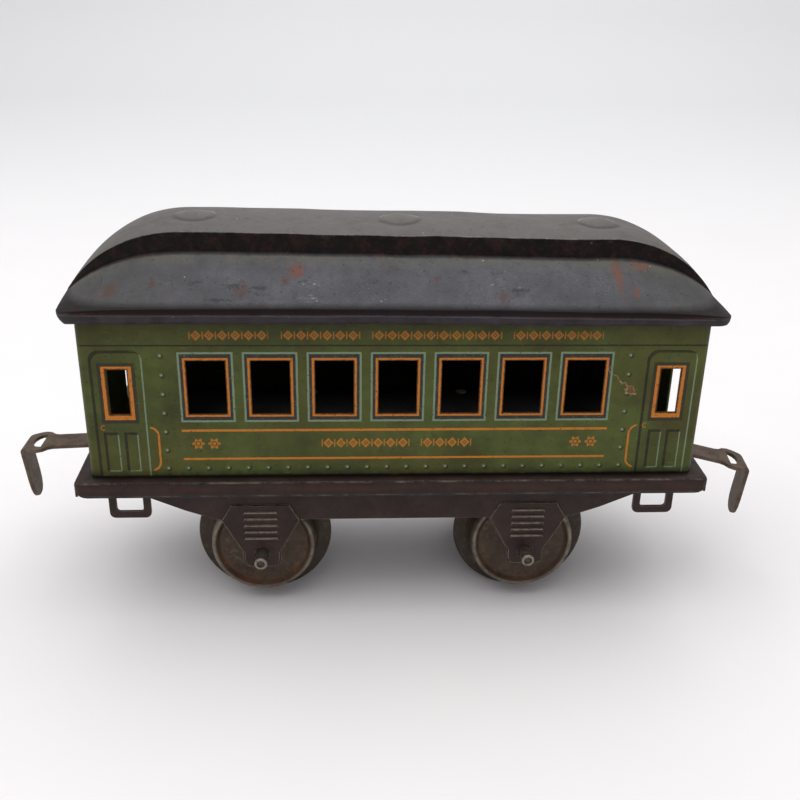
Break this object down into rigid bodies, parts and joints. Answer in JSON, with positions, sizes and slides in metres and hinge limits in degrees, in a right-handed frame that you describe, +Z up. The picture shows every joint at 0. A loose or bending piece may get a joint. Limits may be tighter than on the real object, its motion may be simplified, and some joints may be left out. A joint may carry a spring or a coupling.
{
  "type": "model railway passenger coach",
  "caption": "Pressed sheet-metal toy passenger coach with a raised clerestory roof, cut-out windows, axle guards, turning wheelsets and swinging strip couplers.",
  "frame": {"origin": "on the plane under the wheel flanges, below the middle of the body", "axes": "+X along the track towards the coach's right end as seen from its near side, +Y across the track towards the far side, +Z up"},
  "size_m": [0.1714, 0.0588, 0.0849],
  "materials": {
    "body_paint": "satin lithographed olive green, worn",
    "roof_enamel": "satin black enamel, scratched and dusty",
    "frame_enamel": "satin brown-black enamel, worn at the edges",
    "wheel_tin": "dull tinned sheet with brown tarnish",
    "axle_steel": "plain drawn wire, dull",
    "bare_steel": "oxidised bronze-brown strip"
  },
  "bodies": {
    "coach": {"coupler_guide_left": "frame_enamel", "coupler_guide_right": "frame_enamel", "coupler_rivet_left": "bare_steel", "coupler_rivet_right": "bare_steel", "coupler_spacer_left": "axle_steel", "coupler_spacer_right": "axle_steel", "end_wall_left": "body_paint", "end_wall_right": "body_paint", "floor_pan": "frame_enamel", "frame_rivet_far_left": "bare_steel", "frame_rivet_far_right": "bare_steel", "frame_rivet_near_left": "bare_steel", "frame_rivet_near_right": "bare_steel", "roof": "roof_enamel", "side_frame_far": "frame_enamel", "side_frame_near": "frame_enamel", "side_wall_far": "body_paint", "side_wall_near": "body_paint", "wall_tab_far_left": "body_paint", "wall_tab_far_right": "body_paint", "wall_tab_near_left": "body_paint", "wall_tab_near_right": "body_paint"},
    "wheelset_left": {"axle_left": "axle_steel", "wheel_near_left": "wheel_tin", "wheel_far_left": "wheel_tin", "axle_sleeve_near_left": "axle_steel", "axle_sleeve_far_left": "axle_steel"},
    "coupler_left": {"coupler_left": "bare_steel"},
    "wheelset_right": {"axle_right": "axle_steel", "wheel_near_right": "wheel_tin", "wheel_far_right": "wheel_tin", "axle_sleeve_near_right": "axle_steel", "axle_sleeve_far_right": "axle_steel"},
    "coupler_right": {"coupler_right": "bare_steel"}
  },
  "joints": [
    {"name": "wheelset_left_spin", "type": "hinge", "parent": "coach", "child": "wheelset_left", "pos_m": [-0.02905, 0, 0.01497], "axis": [0, 1, 0], "continuous": true},
    {"name": "wheelset_right_spin", "type": "hinge", "parent": "coach", "child": "wheelset_right", "pos_m": [0.02905, 0, 0.01497], "axis": [0, 1, 0], "continuous": true},
    {"name": "coupler_left_swing", "type": "hinge", "parent": "coach", "child": "coupler_left", "pos_m": [-0.046, 0, 0.0319], "axis": [0, 0, 1], "range_deg": [-17.4, 17.4]},
    {"name": "coupler_right_swing", "type": "hinge", "parent": "coach", "child": "coupler_right", "pos_m": [0.046, 0, 0.0319], "axis": [0, 0, 1], "range_deg": [-9, 25.8]}
  ]
}
